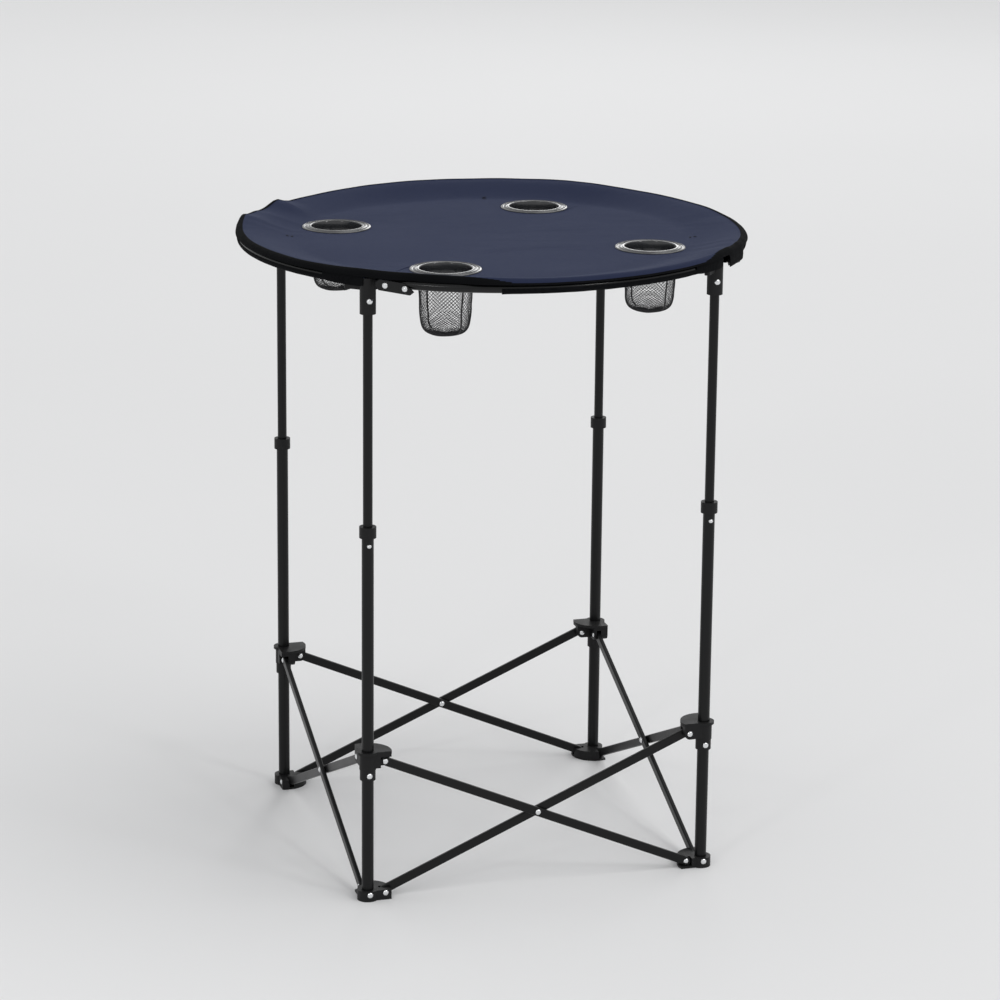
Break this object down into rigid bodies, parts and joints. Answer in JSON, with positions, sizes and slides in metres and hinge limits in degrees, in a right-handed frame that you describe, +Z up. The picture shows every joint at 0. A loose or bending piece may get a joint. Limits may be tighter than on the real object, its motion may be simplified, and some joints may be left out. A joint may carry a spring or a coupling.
{
  "type": "folding table",
  "caption": "Tall round folding table with a cloth top, cup holders, telescopic legs and a folding scissor base.",
  "frame": {"origin": "on the ground, under the middle of the round top", "axes": "+Z up along the legs; +X to the right along the front side; +Y to the back"},
  "size_m": [0.7356, 0.7356, 0.912],
  "materials": {
    "black_tube": "black powder coat, satin",
    "black_plastic": "moulded black plastic with a light texture",
    "rivet": "bright domed rivet",
    "button": "bright spring button",
    "cloth": "navy woven polyester, fine weave",
    "ring": "dark glossy plastic",
    "net": "black netting"
  },
  "bodies": {
    "front_left_leg": {"front_left_foot": "black_plastic", "front_left_lower_leg": "black_tube", "front_left_collars": "black_plastic", "front_left_leg_rivets": "rivet"},
    "front_right_leg": {"front_right_foot": "black_plastic", "front_right_lower_leg": "black_tube", "front_right_collars": "black_plastic", "front_right_leg_rivets": "rivet"},
    "back_right_leg": {"back_right_foot": "black_plastic", "back_right_lower_leg": "black_tube", "back_right_collars": "black_plastic", "back_right_leg_rivets": "rivet"},
    "back_left_leg": {"back_left_foot": "black_plastic", "back_left_lower_leg": "black_tube", "back_left_collars": "black_plastic", "back_left_leg_rivets": "rivet"},
    "front_left_slide": {"front_left_slider": "black_plastic", "front_left_slider_rivets": "rivet"},
    "front_right_slide": {"front_right_slider": "black_plastic", "front_right_slider_rivets": "rivet"},
    "back_right_slide": {"back_right_slider": "black_plastic", "back_right_slider_rivets": "rivet"},
    "back_left_slide": {"back_left_slider": "black_plastic", "back_left_slider_rivets": "rivet"},
    "front_outer_link": {"front_outer_bar": "black_tube"},
    "front_inner_link": {"front_inner_bar": "black_tube"},
    "right_outer_link": {"right_outer_bar": "black_tube"},
    "right_inner_link": {"right_inner_bar": "black_tube"},
    "back_outer_link": {"back_outer_bar": "black_tube"},
    "back_inner_link": {"back_inner_bar": "black_tube"},
    "left_outer_link": {"left_outer_bar": "black_tube"},
    "left_inner_link": {"left_inner_bar": "black_tube"},
    "front_left_upper": {"front_left_upper_leg": "black_tube", "front_left_bracket": "black_plastic"},
    "front_right_upper": {"front_right_upper_leg": "black_tube", "front_right_bracket": "black_plastic"},
    "back_right_upper": {"back_right_upper_leg": "black_tube", "back_right_bracket": "black_plastic"},
    "back_left_upper": {"back_left_upper_leg": "black_tube", "back_left_bracket": "black_plastic"},
    "front_left_release": {"front_left_button": "button"},
    "front_right_release": {"front_right_button": "button"},
    "back_right_release": {"back_right_button": "button"},
    "back_left_release": {"back_left_button": "button"},
    "front_top": {"front_rim": "black_tube", "front_cloth": "cloth", "front_cup_ring": "ring", "front_cup_net": "net"},
    "right_top": {"right_rim": "black_tube", "right_cloth": "cloth", "right_cup_ring": "ring", "right_cup_net": "net"},
    "back_top": {"back_rim": "black_tube", "back_cloth": "cloth", "back_cup_ring": "ring", "back_cup_net": "net"},
    "left_top": {"left_rim": "black_tube", "left_cloth": "cloth", "left_cup_ring": "ring", "left_cup_net": "net"}
  },
  "joints": [
    {"name": "frame_fold", "type": "hinge", "parent": "front_left_leg", "child": "front_inner_link", "pos_m": [-0.2275, -0.2515, 0.01], "axis": [0, -1, 0], "range_deg": [0, 52]},
    {"name": "front_crossing", "type": "hinge", "parent": "front_inner_link", "child": "front_outer_link", "pos_m": [0, -0.2515, 0.1085], "axis": [0, -1, 0], "range_deg": [-104, 0]},
    {"name": "front_right_leg_fold", "type": "hinge", "parent": "front_outer_link", "child": "front_right_leg", "pos_m": [0.2275, -0.2515, 0.01], "axis": [0, -1, 0], "range_deg": [0, 52]},
    {"name": "front_left_slider_fold", "type": "hinge", "parent": "front_outer_link", "child": "front_left_slide", "pos_m": [-0.2275, -0.2515, 0.207], "axis": [0, -1, 0], "range_deg": [0, 52]},
    {"name": "front_right_slider_fold", "type": "hinge", "parent": "front_inner_link", "child": "front_right_slide", "pos_m": [0.2275, -0.2515, 0.207], "axis": [0, -1, 0], "range_deg": [-52, 0]},
    {"name": "right_inner_fold", "type": "hinge", "parent": "front_right_leg", "child": "right_inner_link", "pos_m": [0.2515, -0.2275, 0.01], "axis": [1, 0, 0], "range_deg": [0, 52]},
    {"name": "right_crossing", "type": "hinge", "parent": "right_inner_link", "child": "right_outer_link", "pos_m": [0.2515, 0, 0.1085], "axis": [1, 0, 0], "range_deg": [-104, 0]},
    {"name": "back_right_leg_fold", "type": "hinge", "parent": "right_outer_link", "child": "back_right_leg", "pos_m": [0.2515, 0.2275, 0.01], "axis": [1, 0, 0], "range_deg": [0, 52]},
    {"name": "back_right_slider_fold", "type": "hinge", "parent": "right_inner_link", "child": "back_right_slide", "pos_m": [0.2515, 0.2275, 0.207], "axis": [1, 0, 0], "range_deg": [-52, 0]},
    {"name": "left_outer_fold", "type": "hinge", "parent": "front_left_leg", "child": "left_outer_link", "pos_m": [-0.2515, -0.2275, 0.01], "axis": [1, 0, 0], "range_deg": [0, 52]},
    {"name": "left_crossing", "type": "hinge", "parent": "left_outer_link", "child": "left_inner_link", "pos_m": [-0.2515, 0, 0.1085], "axis": [1, 0, 0], "range_deg": [-104, 0]},
    {"name": "back_left_leg_fold", "type": "hinge", "parent": "left_inner_link", "child": "back_left_leg", "pos_m": [-0.2515, 0.2275, 0.01], "axis": [1, 0, 0], "range_deg": [0, 52]},
    {"name": "back_left_slider_fold", "type": "hinge", "parent": "left_outer_link", "child": "back_left_slide", "pos_m": [-0.2515, 0.2275, 0.207], "axis": [1, 0, 0], "range_deg": [-52, 0]},
    {"name": "back_inner_fold", "type": "hinge", "parent": "back_right_leg", "child": "back_inner_link", "pos_m": [0.2275, 0.2515, 0.01], "axis": [0, 1, 0], "range_deg": [0, 52]},
    {"name": "back_outer_fold", "type": "hinge", "parent": "back_left_leg", "child": "back_outer_link", "pos_m": [-0.2275, 0.2515, 0.01], "axis": [0, -1, 0], "range_deg": [0, 52]},
    {"name": "height_slide", "type": "slide", "parent": "front_left_leg", "child": "front_left_upper", "axis": [0, 0, 1], "range_m": [-0.3, 0]},
    {"name": "front_right_height_slide", "type": "slide", "parent": "front_right_leg", "child": "front_right_upper", "axis": [0, 0, 1], "range_m": [-0.3, 0]},
    {"name": "back_right_height_slide", "type": "slide", "parent": "back_right_leg", "child": "back_right_upper", "axis": [0, 0, 1], "range_m": [-0.3, 0]},
    {"name": "back_left_height_slide", "type": "slide", "parent": "back_left_leg", "child": "back_left_upper", "axis": [0, 0, 1], "range_m": [-0.3, 0]},
    {"name": "front_left_button_press", "type": "slide", "parent": "front_left_leg", "child": "front_left_release", "axis": [0, 1, 0], "range_m": [0, 0.0025], "stiffness_N_per_m": 500},
    {"name": "front_right_button_press", "type": "slide", "parent": "front_right_leg", "child": "front_right_release", "axis": [0, 1, 0], "range_m": [0, 0.0025], "stiffness_N_per_m": 500},
    {"name": "back_right_button_press", "type": "slide", "parent": "back_right_leg", "child": "back_right_release", "axis": [0, -1, 0], "range_m": [0, 0.0025], "stiffness_N_per_m": 500},
    {"name": "back_left_button_press", "type": "slide", "parent": "back_left_leg", "child": "back_left_release", "axis": [0, -1, 0], "range_m": [0, 0.0025], "stiffness_N_per_m": 500},
    {"name": "front_top_fold", "type": "hinge", "parent": "front_left_upper", "child": "front_top", "pos_m": [-0.2335, -0.2515, 0.89565], "axis": [0, -1, 0], "range_deg": [0, 83.2], "deforming": ["front_cloth", "front_cup_net"]},
    {"name": "right_top_fold", "type": "hinge", "parent": "front_right_upper", "child": "right_top", "pos_m": [0.2515, -0.2335, 0.89565], "axis": [1, 0, 0], "range_deg": [0, 83.2], "deforming": ["right_cloth", "right_cup_net"]},
    {"name": "back_top_fold", "type": "hinge", "parent": "back_right_upper", "child": "back_top", "pos_m": [0.2335, 0.2515, 0.89565], "axis": [0, 1, 0], "range_deg": [0, 83.2], "deforming": ["back_cloth", "back_cup_net"]},
    {"name": "left_top_fold", "type": "hinge", "parent": "back_left_upper", "child": "left_top", "pos_m": [-0.2515, 0.2335, 0.89565], "axis": [-1, 0, 0], "range_deg": [0, 83.2], "deforming": ["left_cloth", "left_cup_net"]}
  ],
  "couplings": [
    {"joint": "front_crossing", "follows": "frame_fold", "ratio": -2},
    {"joint": "front_right_leg_fold", "follows": "frame_fold", "ratio": 1},
    {"joint": "front_left_slider_fold", "follows": "frame_fold", "ratio": 1},
    {"joint": "front_right_slider_fold", "follows": "frame_fold", "ratio": -1},
    {"joint": "right_inner_fold", "follows": "frame_fold", "ratio": 1},
    {"joint": "right_crossing", "follows": "frame_fold", "ratio": -2},
    {"joint": "back_right_leg_fold", "follows": "frame_fold", "ratio": 1},
    {"joint": "back_right_slider_fold", "follows": "frame_fold", "ratio": -1},
    {"joint": "left_outer_fold", "follows": "frame_fold", "ratio": 1},
    {"joint": "left_crossing", "follows": "frame_fold", "ratio": -2},
    {"joint": "back_left_leg_fold", "follows": "frame_fold", "ratio": 1},
    {"joint": "back_left_slider_fold", "follows": "frame_fold", "ratio": -1},
    {"joint": "back_inner_fold", "follows": "frame_fold", "ratio": 1},
    {"joint": "back_outer_fold", "follows": "frame_fold", "ratio": 1},
    {"joint": "front_right_height_slide", "follows": "height_slide", "ratio": 1},
    {"joint": "back_right_height_slide", "follows": "height_slide", "ratio": 1},
    {"joint": "back_left_height_slide", "follows": "height_slide", "ratio": 1},
    {"joint": "front_top_fold", "follows": "frame_fold", "ratio": 1.6},
    {"joint": "right_top_fold", "follows": "frame_fold", "ratio": 1.6},
    {"joint": "back_top_fold", "follows": "frame_fold", "ratio": 1.6},
    {"joint": "left_top_fold", "follows": "frame_fold", "ratio": 1.6}
  ]
}
